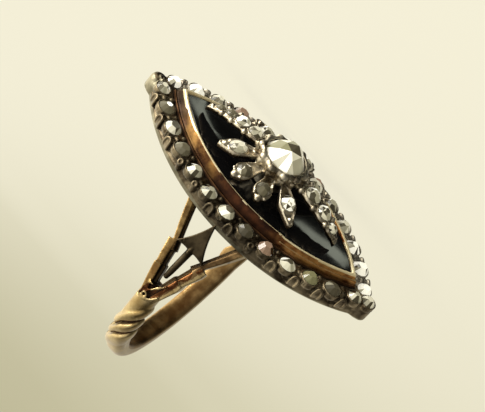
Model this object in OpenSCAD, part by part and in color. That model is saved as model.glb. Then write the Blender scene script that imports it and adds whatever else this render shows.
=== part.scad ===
// Rose-cut diamond ring: a marquise head of black plaque, gold collar and diamond-set silver border,
// with a silver flower on the plaque, carried by split gold shoulders on a carved gold hoop.
// Millimetres. The ring is drawn with its head facing +Z and its finger hole along Y, and at_rest()
// then lays it down the way it lies by itself, on a long side of its head.

/* [Head] */
// Length of the silver border between the points of its two arcs
head_l = 25.2; // [24.6:0.1:25.8]
// Width of the silver border at its lower edge
head_w = 12.34; // [12.2:0.02:12.5]
// Height of the silver border's wall
border_h = 1.6; // [1.5:0.05:1.8]
// Radius of the round knob at each tip of the head
knob_r = 0.72; // [0.65:0.01:0.78]
// Length of the gold collar between the points of its two arcs
collar_l = 21.4; // [21.2:0.1:21.6]
// Width of the gold collar at its foot
collar_w = 9.54; // [9.4:0.02:9.6]
// Height of the collar's edge over the border
collar_h = 0.95; // [0.85:0.01:1.1]

/* [Border stones] */
// Stones along each side of the border
side_stones = 13; // [13:2:13]
// Radius of a border stone at its girdle
stone_r = 0.68; // [0.6:0.01:0.7]
// Radius of the stones that end each side, and of the one at the tip
end_stone_r = 0.5; // [0.45:0.01:0.52]
// Height of a border stone's table over the border
stone_top = 0.38; // [0.35:0.01:0.5]

/* [Flower] */
// Radius of the centre stone at its girdle
centre_r = 1.85; // [1.7:0.05:1.9]
// Height of the centre stone's girdle over the border
centre_z = 3.45; // [3.2:0.05:3.7]
// Height of the centre stone's dome
centre_dome = 1.25; // [1:0.05:1.4]
// Radius of a petal stone at its girdle
petal_stone_r = 0.7; // [0.55:0.01:0.72]
// Offset of the flower along the head
flower_y = -0.3; // [-0.4:0.05:0.2]

/* [Hoop] */
// Inner radius of the finger hole
finger_r = 8.55; // [8.45:0.05:8.6]
// Thickness of the hoop's band
band_t = 1.5; // [1.3:0.1:1.6]
// Width of the hoop's band
band_w = 1.8; // [1.6:0.1:2]
// Offset of the hoop along the head
hoop_y = 0.12; // [0:0.02:0.2]
// Angle at which the hoop leans along the head
hoop_lean = 1.9; // [0:0.1:2.1]

/* [Hidden] */
SIDES = ["near", "far"];
BORDER_STONES = 2 * side_stones + 1;
PETALS = 8;
function two_digits(i) = i < 10 ? str("0", i) : str(i);

$fn = 64;
gap = 0.04;
cut = 0.1;

// How the ring lies by itself, on the border's edge and two petals: its roll about the finger hole,
// its turn on the floor, and the place of the head's middle over the middle of the floor under the ring
rest_roll = -135.9;
rest_turn = 90;
rest_place = [0, -6.25, 4.499];

// Colours of the metals and the stones
gold_colour = "darkgoldenrod";
silver_colour = "dimgray";
stone_colour = "lightcyan";

// Radius of the arcs of a marquise of the given length and width
function arc_r(l, w) = (pow(l / 2, 2) + pow(w / 2, 2)) / w;

// Heights in the head; head_top is over all of it
head_top = 5;
lip_h = 0.25;
plate_t = 0.75;
plaque_edge_z = 0.6;
plaque_dome = 0.22;
collar_lip = 0.28;
collar_slope = 0.47;
collar_ledge = 0.16;
collar_ledge_z = 0.14;

// The border stones stand on one arc on each side of the head
row_l = 24;
row_w = 11.2;
row_r = arc_r(row_l, row_w);
row_x = row_r - row_w / 2;
row_end_y = 11.3;
row_turn = 2 * asin(row_end_y / row_r) / (side_stones - 1);
tip_stone_y = 12.25;
seat_depth = 0.62;
collet_wall = 0.12;
collet_rise = 0.06;
rib_r = 0.3;
rib_out = 0.68;
rib_top = -0.28;
wall_inset = 0.12;
// Radius of the silver grain on the knob that has no stone
grain_r = 0.4;
girdle_h = 0.55;

// A place beside the stone row: number along the row, side, and distance outwards
function row_place(k, side, out = 0) =
    let (a = (k - (side_stones - 1) / 2) * row_turn)
    [side * ((row_r + out) * cos(a) - row_x), (row_r + out) * sin(a), 0];

// Stone number to its place and its radius: the two rows first, then the tip
function stone_place(i) =
    i == BORDER_STONES ? [0, tip_stone_y, 0]
    : i <= side_stones ? row_place(i - 1, 1)
    : row_place(i - 1 - side_stones, -1);
function ends_row(i) =
    let (k = (i - 1) % side_stones)
    i == BORDER_STONES || k == 0 || k == side_stones - 1;
function stone_radius(i) = ends_row(i) ? end_stone_r : stone_r;

// Petals and leaves stand round the flower's centre like the rays of a star
ray_angle = 36;
petal_angles = [-1.5, -0.5, 0.5, 1.5, 3.5, 4.5, 5.5, 6.5];
// Angle in rays, distance of the stone, distance of the tip
short_petal = [3.35, 4.35];
long_petal = [3.75, 5.35];
petal_root = 1.6;
petal_z = 2.25;
petal_t = 0.6;
petal_w = 0.84;
petal_tip_w = 0.22;
petal_stone_h = 0.85;
petal_girdle_h = 0.4;
// Depth of the seats in the petals and leaves
flower_seat = 0.45;
function petal_ray(i) = petal_angles[i - 1];
function petal_long(i) = abs(petal_ray(i) - (petal_ray(i) > 2.5 ? 5 : 0)) > 1;
function petal_size(i) = petal_long(i) ? long_petal : short_petal;

// Sections of a leaf along the head: distance from the flower's centre, half width, height of its top
leaf_sections = [
    [1.2, 0.55, 3.0],
    [2.6, 0.95, 3.2],
    [4.2, 1.05, 2.95],
    [5.8, 0.85, 2.55],
    [6.9, 0.5, 2.05],
    [7.5, 0.25, 1.6]];
leaf_t = 0.55;
leaf_bevel = 0.12;
// Stones of the leaf towards +Y, and of the one towards -Y: distance from the flower's centre, radius
leaf_stones = [
    [[3.72, 0.62], [5.18, 0.6], [6.5, 0.44]],
    [[3.1, 0.6], [4.42, 0.56], [5.5, 0.43], [6.43, 0.36]]];
leaf_seat = 0.3;
leaf_girdle_h = 0.26;
function leaf_stone_h(r) = 0.35 + 0.6 * r;

// The ribbed collet of the centre stone
collet_foot_r = 1.5;
collet_r = 2.15;
collet_top = centre_z + 0.1;
collet_ribs = 11;
collet_rib_r = 0.34;
collet_rib_z = 1.7;
collet_rib_top = centre_z + 0.2;
stem_top = 1.5;
centre_seat = 0.35;
centre_girdle_h = 0.3;

// The finger hole just touches the back of the head
hoop_r = finger_r + band_t / 2;
hoop_z = -border_h - finger_r - gap;

// Stations of a gold arm, from the fork to the head's rim: angle up from the hoop's level diameter,
// half spread of the two arms, radius, width and thickness of the arm
arm_stations = [
    [10, 0.3, hoop_r, 0.8, 1.0],
    [26, 0.98, hoop_r - 0.15, 1.05, 1.1],
    [38.7, 1.58, hoop_r - 0.25, 1.0, 0.9],
    [64, 3.3, hoop_r + 0.9, 0.92, 0.8]];
// Each leaf of an arm starts inside the one before it, and is slimmer there
leaf_start = 0.7;
leaf_slim = 0.8;

// The star on the arms: angles of its top and of its middle, its points, and its thickness.
// A point is given by its distance up from the star's middle and its distance to the side.
star_top_a = 54.2;
star_mid_a = 43.5;
star_points = [[2.6, 0], [-0.66, 1.5], [-0.62, 0], [-0.66, -1.5]];
star_hollow = 0.36;
star_t = 0.4;
star_r = hoop_r + 0.56;
rod_r = 0.28;
rod_end_a = 23;
rod_end_r = hoop_r + 0.2;

// Radius of the band's rounded back
band_round = 1.3;
// Carved steps of the band: angle, and how much they widen the band at their lower end
band_steps = [[9, 0.28], [-7, 0.2], [-19, 0.12]];
step_turn = 6;
step_slim = [0.3, 0.1];
// Angle at which the band ends in the fork of the arms
band_end_a = 14;

// Distance from the ring's middle at which a line at an angle on the hoop meets the back of the head
function on_head_x(a) = (finger_r + gap) / tan(a);

// A point of the hoop at an angle, a distance along the finger and a radius
function on_hoop(a, y, r) = [r * cos(a), y, hoop_z + r * sin(a)];

// The ring laid down: rolled about its finger hole onto a long side of its head
module at_rest() {
    translate(rest_place)
        rotate([0, 0, rest_turn])
            rotate([0, rest_roll, 0])
                children();
}

// The hoop's own place against the head
module hooped() {
    translate([0, hoop_y, 0])
        rotate([hoop_lean, 0, 0])
            children();
}

// A marquise outline between two arcs, drawn in from its edge
module marquise(l, w, inset = 0) {
    r = arc_r(l, w);
    intersection() {
        translate([w / 2 - r, 0]) circle(r - inset, $fn = 180);
        translate([r - w / 2, 0]) circle(r - inset, $fn = 180);
    }
}

// A marquise that narrows as it rises
module marquise_slope(l, w, h, inset_low, inset_high) {
    r = arc_r(l, w);
    intersection() {
        translate([w / 2 - r, 0, 0]) cylinder(h = h, r1 = r - inset_low, r2 = r - inset_high, $fn = 180);
        translate([r - w / 2, 0, 0]) cylinder(h = h, r1 = r - inset_low, r2 = r - inset_high, $fn = 180);
    }
}

// A rose-cut stone with a small table: flat base, upright girdle, six main and six corner facets
module rose_cut(r, h, girdle) {
    n = 12;
    table = 0.36;
    ring = [for (i = [0:n - 1]) [r * cos(i * 30 + 15), r * sin(i * 30 + 15)]];
    top = [for (i = [0:5]) [table * r * cos(i * 60), table * r * sin(i * 60), h]];
    points = concat(
        [for (p = ring) [p[0], p[1], 0]],
        [for (p = ring) [p[0], p[1], girdle]],
        top);
    faces = concat(
        [[for (i = [0:n - 1]) i]],
        [for (i = [0:n - 1]) [i, i + n, (i + 1) % n + n, (i + 1) % n]],
        [for (i = [0:5]) [n + (2 * i + n - 1) % n, 2 * n + i, n + 2 * i]],
        [for (i = [0:5]) [n + 2 * i, 2 * n + i, 2 * n + (i + 1) % 6]],
        [for (i = [0:5]) [n + 2 * i, 2 * n + (i + 1) % 6, n + 2 * i + 1]],
        [[for (i = [5:-1:0]) 2 * n + i]]);
    polyhedron(points, faces);
}

// The big rose-cut stone: a small table, six star facets, and a belt of twelve and six below them
module centre_rose(r, h, girdle) {
    n = 12;
    belt_r = 0.68 * r;
    belt_h = 0.72 * h;
    table_r = 0.16 * r;
    points = concat(
        [for (i = [0:n - 1]) [r * cos(i * 30), r * sin(i * 30), -girdle]],
        [for (i = [0:n - 1]) [r * cos(i * 30), r * sin(i * 30), 0]],
        [for (i = [0:5]) [belt_r * cos(i * 60), belt_r * sin(i * 60), belt_h]],
        [for (i = [0:5]) [table_r * cos(i * 60), table_r * sin(i * 60), h]]);
    faces = concat(
        [[for (i = [0:n - 1]) i]],
        [for (i = [0:n - 1]) [i, i + n, (i + 1) % n + n, (i + 1) % n]],
        [for (i = [0:5]) [n + (2 * i + n - 1) % n, 2 * n + i, n + 2 * i]],
        [for (i = [0:5]) [n + 2 * i, 2 * n + i, n + 2 * i + 1]],
        [for (i = [0:5]) [n + 2 * i + 1, 2 * n + i, 2 * n + (i + 1) % 6]],
        [for (i = [0:5]) [2 * n + i, 2 * n + 6 + i, 2 * n + (i + 1) % 6]],
        [for (i = [0:5]) [2 * n + (i + 1) % 6, 2 * n + 6 + i, 2 * n + 6 + (i + 1) % 6]],
        [[for (i = [5:-1:0]) 2 * n + 6 + i]]);
    polyhedron(points, faces);
}

// A bar with a four-cornered section at each of its ends; each end is [point, width, thickness]
module bar(a, b) {
    along = b[0] - a[0];
    function corners(e) =
        let (p = e[0], out = unit([p[0], 0, p[2] - hoop_z]), side = unit(cross(along, out)))
        [for (q = [[-1, -1], [1, -1], [1, 1], [-1, 1]])
            p + side * q[0] * e[1] / 2 + out * q[1] * e[2] / 2];
    polyhedron(
        concat(corners(a), corners(b)),
        concat(
            [[3, 2, 1, 0], [4, 5, 6, 7]],
            [for (i = [0:3]) [i, (i + 1) % 4 + 4, i + 4]],
            [for (i = [0:3]) [i, (i + 1) % 4, (i + 1) % 4 + 4]]));
}
function unit(v) = v / norm(v);

// A station between two others, and the end that a bar has there
function between(a, b, t) = a + (b - a) * t;
function arm_end(s, side, slim = 1) = [on_hoop(s[0], side * s[1], s[2]), slim * s[3], slim * s[4]];

// One gold arm of a shoulder: two overlapping leaves and a thin strut to the head
module arm(side) {
    for (k = [1:len(arm_stations) - 1])
        bar(k == 1 ? arm_end(arm_stations[0], side)
                   : arm_end(between(arm_stations[k - 2], arm_stations[k - 1], leaf_start), side, leaf_slim),
            arm_end(arm_stations[k], side));
}

// The band of the hoop, from fork to fork round the back, with its carved steps
module band() {
    translate([0, 0, hoop_z])
        rotate([90, 0, 0])
            rotate([0, 0, 180 - band_end_a])
                rotate_extrude(angle = 180 + 2 * band_end_a)
                    translate([finger_r - cut, 0])
                        intersection() {
                            translate([0, -band_w / 2]) square([band_t + cut, band_w]);
                            translate([band_t + cut - band_round, 0]) circle(band_round);
                        }
}

// One carved step of the band, in the side at +X
module band_step(s) {
    bar([on_hoop(s[0] + step_turn, 0, hoop_r), band_w - step_slim[0], band_t - step_slim[1]],
        [on_hoop(s[0] - step_turn, 0, hoop_r), band_w + s[1], band_t + s[1]]);
}

module shank() at_rest() color(gold_colour) {
    difference() {
        hooped() difference() {
            union() {
                band();
                for (x = [0, 1]) mirror([x, 0, 0]) {
                    for (side = [-1, 1]) arm(side);
                    for (s = band_steps) band_step(s);
                }
            }
            translate([0, -finger_r, hoop_z]) rotate([-90, 0, 0]) cylinder(h = 2 * finger_r, r = finger_r);
        }
        translate([-head_l, -head_l, -border_h - gap]) cube(2 * head_l);
    }
}

// A point between a and b on a curve that is drawn in towards the star's middle
function hollow(a, b, t) =
    let (mid = (a + b) / 2 * (1 - star_hollow))
    a * pow(1 - t, 2) + mid * 2 * t * (1 - t) + b * pow(t, 2);

module star_outline() {
    n = len(star_points);
    polygon([for (i = [0:n - 1], t = [0:0.125:0.99]) hollow(star_points[i], star_points[(i + 1) % n], t)]);
}

// The star plate with its rod, in the shoulder at +X; its top point is cut off level by the head
module star() {
    mid = on_hoop(star_mid_a, 0, star_r);
    top = [on_head_x(star_top_a), 0, -border_h - gap];
    tilt = atan2(mid[0] - top[0], top[2] - mid[2]);
    difference() {
        translate(mid)
            rotate([0, -tilt, 0])
                rotate([0, -90, 0])
                    translate([0, 0, -star_t / 2])
                        linear_extrude(star_t) star_outline();
        translate([0, -finger_r, top[2]]) cube(2 * finger_r);
    }
    low = on_hoop(rod_end_a, 0, rod_end_r);
    translate(low)
        rotate([0, atan2(mid[0] - low[0], mid[2] - low[2]), 0])
            cylinder(h = norm(mid - low), r = rod_r);
}

module shoulder_star(side) at_rest() color(silver_colour) hooped() {
    mirror([side == "near" ? 0 : 1, 0, 0]) star();
}

module border() at_rest() color(silver_colour) {
    difference() {
        union() {
            translate([0, 0, -border_h]) linear_extrude(border_h) marquise(head_l, head_w, wall_inset);
            translate([0, 0, -border_h]) linear_extrude(lip_h) marquise(head_l, head_w);
            for (y = [-1, 1])
                translate([0, y * tip_stone_y, -border_h]) cylinder(h = border_h, r = knob_r);
            translate([0, -tip_stone_y, 0]) sphere(grain_r);
            for (i = [1:BORDER_STONES])
                translate(stone_place(i) - [0, 0, border_h - lip_h])
                    cylinder(h = border_h - lip_h + collet_rise, r = stone_radius(i) + collet_wall);
            for (side = [-1, 1], k = [0:side_stones - 2])
                translate(row_place(k + 0.5, side, rib_out)) rib();
        }
        translate([0, 0, -border_h - cut])
            linear_extrude(2 * border_h) marquise(collar_l, collar_w, -gap);
        for (i = [1:BORDER_STONES])
            translate(stone_place(i) - [0, 0, seat_depth])
                cylinder(h = 2 * seat_depth, r = stone_radius(i) + gap);
    }
}

// A half column on the outside of the border's wall, with a round top
module rib() {
    translate([0, 0, -border_h + lip_h / 2])
        cylinder(h = border_h + rib_top - lip_h / 2, r = rib_r, $fn = 12);
    translate([0, 0, rib_top]) sphere(rib_r);
}

module collar() at_rest() color(gold_colour) {
    difference() {
        union() {
            translate([0, 0, -border_h])
                linear_extrude(border_h + collar_ledge_z) marquise(collar_l, collar_w);
            translate([0, 0, collar_ledge_z])
                marquise_slope(collar_l, collar_w, collar_h - collar_ledge_z, collar_ledge, collar_slope);
        }
        translate([0, 0, plate_t - border_h])
            linear_extrude(head_top) marquise(collar_l, collar_w, collar_slope + collar_lip);
    }
}

module plaque() at_rest() color("black") {
    half = collar_w / 2 - collar_slope - collar_lip - gap;
    dome_r = (half * half + plaque_dome * plaque_dome) / (2 * plaque_dome);
    intersection() {
        translate([0, 0, plate_t - border_h + gap])
            linear_extrude(head_top) marquise(collar_l, collar_w, collar_slope + collar_lip + gap);
        translate([0, -head_l, plaque_edge_z + plaque_dome - dome_r])
            rotate([-90, 0, 0]) cylinder(h = 2 * head_l, r = dome_r, $fn = 250);
    }
}

// A drop-shaped petal lying along +X, with its top at height z
module petal(size) {
    translate([0, 0, petal_z - petal_t]) linear_extrude(petal_t)
        hull() {
            translate([size[0], 0]) circle(petal_w, $fn = 20);
            translate([size[1] - petal_tip_w, 0]) circle(petal_tip_w, $fn = 12);
            translate([petal_root, 0]) circle(petal_tip_w, $fn = 12);
        }
}

// A long leaf lying along +Y, arched over the plaque, with bevelled edges
module leaf(floor_z) {
    n = len(leaf_sections);
    points = [for (s = leaf_sections)
        let (w = s[1], top = s[2], low = max(top - leaf_t, floor_z))
        for (q = [[-w, low], [w, low], [w, top - leaf_bevel], [w - leaf_bevel, top],
                  [leaf_bevel - w, top], [-w, top - leaf_bevel]])
            [q[0], s[0], q[1]]];
    faces = concat(
        [[for (i = [5:-1:0]) i]],
        [for (k = [0:n - 2], i = [0:5])
            [6 * k + i, 6 * k + (i + 1) % 6, 6 * k + 6 + (i + 1) % 6, 6 * k + 6 + i]],
        [[for (i = [0:5]) 6 * (n - 1) + i]]);
    polyhedron(points, faces);
}

// Height of a leaf's top at a distance from the flower's centre
function leaf_top(d) = lookup(d, [for (s = leaf_sections) [s[0], s[2]]]);
// Slope of a leaf's top there
function leaf_pitch(d) = atan((leaf_top(d + 0.3) - leaf_top(d - 0.3)) / 0.6);

// Stands its children on the place of a leaf stone, square to the leaf's top
module on_leaf(stone) {
    translate([0, stone[0], leaf_top(stone[0])])
        rotate([leaf_pitch(stone[0]), 0, 0])
            children();
}

module flower() at_rest() color(silver_colour) translate([0, flower_y, 0]) {
    foot_z = plaque_edge_z + plaque_dome + gap;
    difference() {
        union() {
            translate([0, 0, foot_z]) cylinder(h = stem_top - foot_z, r = collet_foot_r);
            translate([0, 0, stem_top])
                cylinder(h = collet_top - stem_top, r1 = collet_foot_r, r2 = collet_r);
            for (i = [0:collet_ribs - 1])
                rotate(i * 360 / collet_ribs)
                    translate([collet_r - collet_rib_r / 3, 0, collet_rib_z])
                        cylinder(h = collet_rib_top - collet_rib_z, r = collet_rib_r, $fn = 10);
            for (i = [1:PETALS]) rotate(petal_ray(i) * ray_angle) petal(petal_size(i));
            for (m = [0, 1]) mirror([0, m, 0]) leaf(foot_z);
        }
        translate([0, 0, centre_z - centre_seat]) cylinder(h = centre_r, r = centre_r + gap);
        for (i = [1:PETALS])
            rotate(petal_ray(i) * ray_angle)
                translate([petal_size(i)[0], 0, petal_z - flower_seat])
                    cylinder(h = 2 * flower_seat, r = petal_stone_r + gap, $fn = 24);
        for (m = [0, 1], s = leaf_stones[m])
            mirror([0, m, 0])
                on_leaf(s) translate([0, 0, -leaf_seat]) cylinder(h = head_top, r = s[1] + gap, $fn = 24);
    }
}

module centre_diamond() at_rest() color(stone_colour) {
    translate([0, flower_y, centre_z]) centre_rose(centre_r, centre_dome, centre_girdle_h);
}

module border_diamond(i) at_rest() color(stone_colour) {
    base_z = -seat_depth + gap;
    translate(stone_place(i) + [0, 0, base_z])
        rose_cut(stone_radius(i), stone_top - base_z, girdle_h);
}

module petal_diamond(i) at_rest() color(stone_colour) {
    translate([0, flower_y, 0])
        rotate(petal_ray(i) * ray_angle)
            translate([petal_size(i)[0], 0, petal_z - flower_seat + gap])
                rose_cut(petal_stone_r, petal_stone_h, petal_girdle_h);
}

module leaf_diamonds(m) at_rest() color(stone_colour) {
    translate([0, flower_y, 0])
        mirror([0, m - 1, 0])
            for (s = leaf_stones[m - 1])
                on_leaf(s)
                    translate([0, 0, gap - leaf_seat])
                        rose_cut(s[1], leaf_stone_h(s[1]), leaf_girdle_h);
}

shank();
border();
collar();
plaque();
flower();
centre_diamond();
for (side = SIDES)
    shoulder_star(side);
for (i = [1:BORDER_STONES])
    border_diamond(i);
for (i = [1:PETALS])
    petal_diamond(i);
for (i = [1:2])
    leaf_diamonds(i);
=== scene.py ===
"""Looks of the rose-cut diamond ring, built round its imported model.

Shapes are drawn in the ring's own frame, in millimetres: the head faces +Z, the finger hole runs
along Y, and the shoulder that the camera sees is at +X. TO_ROW then lays them where the ring rests.
"""

import math
import random

import bpy
import bmesh
from mathutils import Matrix, Vector, noise

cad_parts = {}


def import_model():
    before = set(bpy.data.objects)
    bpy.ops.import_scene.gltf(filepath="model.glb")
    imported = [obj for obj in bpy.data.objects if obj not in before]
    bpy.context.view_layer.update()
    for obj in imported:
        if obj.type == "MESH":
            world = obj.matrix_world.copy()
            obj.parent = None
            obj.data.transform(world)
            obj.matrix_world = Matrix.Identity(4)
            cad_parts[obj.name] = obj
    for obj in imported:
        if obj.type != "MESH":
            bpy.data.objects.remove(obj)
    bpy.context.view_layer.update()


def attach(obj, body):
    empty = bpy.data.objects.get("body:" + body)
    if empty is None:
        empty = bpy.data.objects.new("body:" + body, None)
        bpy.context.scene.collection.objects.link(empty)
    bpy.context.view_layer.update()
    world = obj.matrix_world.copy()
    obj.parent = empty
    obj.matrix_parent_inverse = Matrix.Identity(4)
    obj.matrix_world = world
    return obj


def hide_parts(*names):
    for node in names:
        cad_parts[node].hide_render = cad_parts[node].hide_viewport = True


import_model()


# Sizes of the ring, in millimetres, as in the model's source

HEAD_L, HEAD_W, BORDER_H = 25.2, 12.34, 1.6
KNOB_R = 0.72
COLLAR_L, COLLAR_W, COLLAR_H = 21.4, 9.54, 0.95
COLLAR_T, COLLAR_LEDGE_Z, PLATE_T = 0.75, 0.14, 0.75
PLAQUE_EDGE_Z, PLAQUE_DOME = 0.6, 0.22
GAP = 0.04

SIDE_STONES = 13
STONE_R, END_STONE_R, STONE_TOP = 0.74, 0.64, 0.44
ROW_L, ROW_W, ROW_END_Y, TIP_STONE_Y = 24, 11.2, 11.3, 12.25
SEAT_DEPTH, GIRDLE_H = 0.62, 0.55
RIB_R, RIB_OUT = 0.38, 0.66

FLOWER_Y = -0.3
LEAF_RIM, LEAF_STEPS = 0.17, 44
CENTRE_R, CENTRE_Z, CENTRE_DOME, CENTRE_GIRDLE_H = 1.85, 3.45, 1.62, 0.3
COLLET_RIBS = 11
# Petals: bearing, distances of the stone and of the tip from the flower's centre, radius of the stone
PETALS = [(-58, 3.62, 5.15, 0.74), (-20, 3.55, 4.6, 0.64), (15.5, 3.42, 4.45, 0.62), (54, 3.6, 5.45, 0.66),
          (126, 3.62, 5.35, 0.7), (162, 3.28, 4.35, 0.7), (198, 3.28, 4.35, 0.7), (234, 3.62, 5.35, 0.7)]
LONG_TIP, PETAL_SLOPE = 5.0, 0.24
PETAL_ROOT, PETAL_ROOT_R, PETAL_Z, PETAL_T, PETAL_RIM, PETAL_TIP_R = 2.15, 0.42, 2.33, 0.6, 0.17, 0.3
PETAL_STONE_H, PETAL_GIRDLE_H, PETAL_SEAT = 0.85, 0.46, 0.45
# Sections of a leaf: distance from the flower's centre, half width, height of the top
LEAF_SECTIONS = [(1.2, 0.55, 3.0), (2.6, 0.95, 3.2), (4.2, 1.05, 2.95), (5.8, 0.85, 2.55), (6.9, 0.5, 2.05),
                 (7.5, 0.25, 1.6)]
LEAF_T, LEAF_SEAT, LEAF_GIRDLE_H = 0.55, 0.3, 0.36
# Stones of the leaf towards +Y, and of the one towards -Y: distance from the flower's centre, radius
LEAF_STONES = [
    [(3.62, 0.72), (5.2, 0.68), (6.5, 0.48)],
    [(3.1, 0.66), (4.45, 0.62), (5.6, 0.48), (6.5, 0.38)]]

FINGER_R, BAND_T, BAND_W, BAND_END_A = 8.55, 1.5, 1.8, 14
HOOP_Y, HOOP_LEAN = 0.12, 1.9
HOOP_R = FINGER_R + BAND_T / 2
HOOP_Z = -BORDER_H - FINGER_R - GAP
HEAD_BACK_Z = -BORDER_H - GAP
# Stations of an arm: angle round the hoop, distance from its middle, radius, width, thickness
ARM_STATIONS = [(10, 0.3, HOOP_R, 0.8, 1.0), (26, 0.98, HOOP_R - 0.15, 1.05, 1.1),
                (38.7, 1.58, HOOP_R - 0.25, 1.0, 0.9), (64, 3.3, HOOP_R + 0.9, 0.92, 0.8)]
LEAF_START, LEAF_SLIM = 0.7, 0.8
STAR_TOP_A, STAR_MID_A, STAR_R = 54.2, 43.5, HOOP_R + 0.56
STAR_POINTS = [(2.6, 0), (-0.66, 1.5), (-0.62, 0), (-0.66, -1.5)]
STAR_HOLLOW, STAR_T = 0.36, 0.4
ROD_R, ROD_END_A, ROD_END_R = 0.28, 23, HOOP_R + 0.2


# Details that the model's source leaves to this script

# The border is paler below an x, where its far side is painted light, and worn below a y at its tip and below
# a height at its wall's foot; past a place along the head that height is lower
LIT_SIDE_X, WORN_TIP_Y, FOOT_Z = -0.4, -11.8, -1.2
LOWER_FOOT_Y, LOWER_FOOT_Z = 3, -1.42
# Where along the head the collar's edge has its break, and how long the change takes
BREAK_Y, BREAK_L, COLLAR_STEPS = 4.2, 0.25, 220
# The collar's bright edge, a painted highlight: how far along the head each stretch goes, and the height
# where it starts
EDGE_HIGHLIGHT_FROM = [(-8.6, 0.62), (-6.6, 0.8), (-3, 0.88), (BREAK_Y, 0.93), (7.4, 0.84), (math.inf, 0.74)]
# The border's ribs whose round heads carry a ring, counted from the end of the head towards -Y
RINGED_RIBS = (3, 4, 7)
# Grains between two border stones: distance outwards, shift along the row, height, radius, bounds of stretch
ROW_GRAINS = [(-0.62, 0.12, -0.08, 0.2, 0.6, 1.1), (-0.08, 0.14, -0.12, 0.22, 0.5, 0.9)]
# Rounds that ease each tip of the border into its wall: distance inwards from the tip's knob, radius
TIP_ROUNDS = [(0.14, 0.78), (0.3, 0.86), (0.48, 0.92)]

# Sections of a petal (distance in from its edge, height over its top) and of half a leaf (share of its width)
PETAL_SECTION = [(0.2, -PETAL_T), (0.05, -0.48), (0, -0.3), (0, -0.04), (0.03, 0.02), (0.1, 0.02),
                 (0.15, -0.07), (0.18, -0.16)]
LEAF_SECTION = [(0.72, -LEAF_T), (0.95, 0.2 - LEAF_T), (1, -0.1), (0.96, -0.02), (0.84, -0.03), (0.76, -0.14)]
# Collets of their stones: distance out from the stone's edge, height
PETAL_COLLET = [(0.1, -0.45), (0.12, -0.03), (0.08, 0.05), (0.01, 0.06), (-0.03, 0.01), (0.03, -0.08),
                (0.03, -0.42)]
LEAF_COLLET = [(0, -0.4), (0.1, -0.25), (0.11, 0.04), (0.08, 0.1), (0.01, 0.1), (-0.03, 0.04), (0.03, -0.02),
               (0.03, -0.28)]
# How far the collet and the leaves reach round the flower's centre, and how far below a top the painted
# shade begins
COLLET_REACH, LEAF_REACH, SHADE_DEPTH = 2.5, 1.2, 0.16
DIMPLE_A = -2

LEAF_BOW, LEAF_TIP, LEAF_FLARE = 0.12, 0.1, 0.2
ARM_NECK, ARM_SHIFT, ARM_STEPS = 0.3, 0.38, 8
# The lengths of an arm that are carved as leaves; the last one is a plain strap
ARM_LEAVES = 2
BAND_STEPS, BAND_SIDES = 480, 60
# Edges of the carved leaves on the band: angle of the edge at the band's middle, depth of its groove
BAND_EDGES = [(-8.6, 0.36), (-18.6, 0.36)]
EDGE_SLANT, CURL, GROOVE_W = 6.5, 9.0, 1.9
# Swellings of the band past its edges: their lengths in degrees, and how far they stand out
LEAF_RISE_A, LEAF_RISE, KNOB_A, KNOB_RISE = 9.0, 0.2, 14.0, 0.18
# The hollow in the band's front under the fork
MOUTH_A, MOUTH_SLANT, MOUTH_W, MOUTH_REACH, MOUTH_DEPTH = 13.8, 2.6, 4.4, 0.84, 0.62
# How near an arm's faces lie to its section, all round and on its inner side
ARM_SKIN, ARM_INNER_SKIN = 0.12, 0.3

# Castings are fused into one skin: size of its voxels, smoothing steps, share of its faces that is kept
BORDER_SKIN = (0.065, 2, 0.72)
FLOWER_SKIN = (0.055, 3, 0.95)
SHANK_SKIN = (0.065, 3, 0.85)
STAR_SKIN = (0.05, 2, 1)


# How the ring lies by itself, and the photograph's camera in the ring's frame: its place, right and up

REST_ROLL, REST_TURN = -135.9, 90
REST_PLACE = (0, -6.25, 4.499)
CAMERA_PLACE = Vector((151.35, 25.36, 114.845))
CAMERA_RIGHT = Vector((-0.52427, 0.66748, 0.52879))
CAMERA_UP = Vector((-0.33578, -0.73269, 0.59196))
LENS_MM, SENSOR_MM = 179.378, 36

# The floor rises into a round backdrop: radius and height of points along its section, in metres
SWEEP = [(0.001, 0.0), (0.36, 0.0), (0.44, 0.006), (0.52, 0.03), (0.59, 0.08), (0.64, 0.16), (0.66, 0.26),
         (0.66, 0.7)]
SWEEP_OPEN_Z, FLOOR_SINK = 0.69, 0.00002
# The floor glows with painted light: its colour round the ring, on its darker side, and up the far end of the
# sweep, both darker as painted shade; where it fades
FLOOR_PALE, FLOOR_DIM, SWEEP_FAR = (0.9, 0.86, 0.69), (0.66, 0.625, 0.45), (0.47, 0.44, 0.28)
SIDE_WAY, SIDE_FADE = (-3.3, 1, 0), (-0.08, 0.34)
SWEEP_FADE = (0.38, 0.6)
FLOOR_DIFFUSE, FLOOR_GLOW = 0.1, 0.93

# The outlines (x, y) of the two patches of light that lie on the plaque, and the cards that it mirrors there
SHINE = {
    "card_1": [(0.22, -9.31), (1.12, -7.51), (1.14, -6.54), (1.09, -5.86), (0.67, -5.25), (0.74, -6.26),
               (-0.17, -7.83), (-1.18, -8.4)],
    "card_2": [(1.12, 3.72), (1.07, 5.67), (0.64, 7.69), (0.36, 9.0), (-0.85, 8.94), (-0.73, 7.27),
               (-0.05, 5.77), (0.45, 4.03)]}
CARD_AWAY, CARD_LIGHT, CARD_COLOUR = 120, 2.9, (0.95, 1.0, 0.8, 1)

# Soft square lights: direction from the ring as right, up and towards the camera, distance, size, power
LIGHTS = {
    "key": ((-0.6, 0.75, 0.3), 0.3, 0.16, 0.8),
    "fill": ((0.1, 0.2, 1.0), 0.4, 0.2, 0.07),
    "overhead": ((-0.5, -0.35, 0.8), 0.4, 0.3, 0.16)}
LIGHT_COLOUR, RING_MIDDLE = (1, 0.97, 0.9), Vector((0, 0, 0.009))

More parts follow.
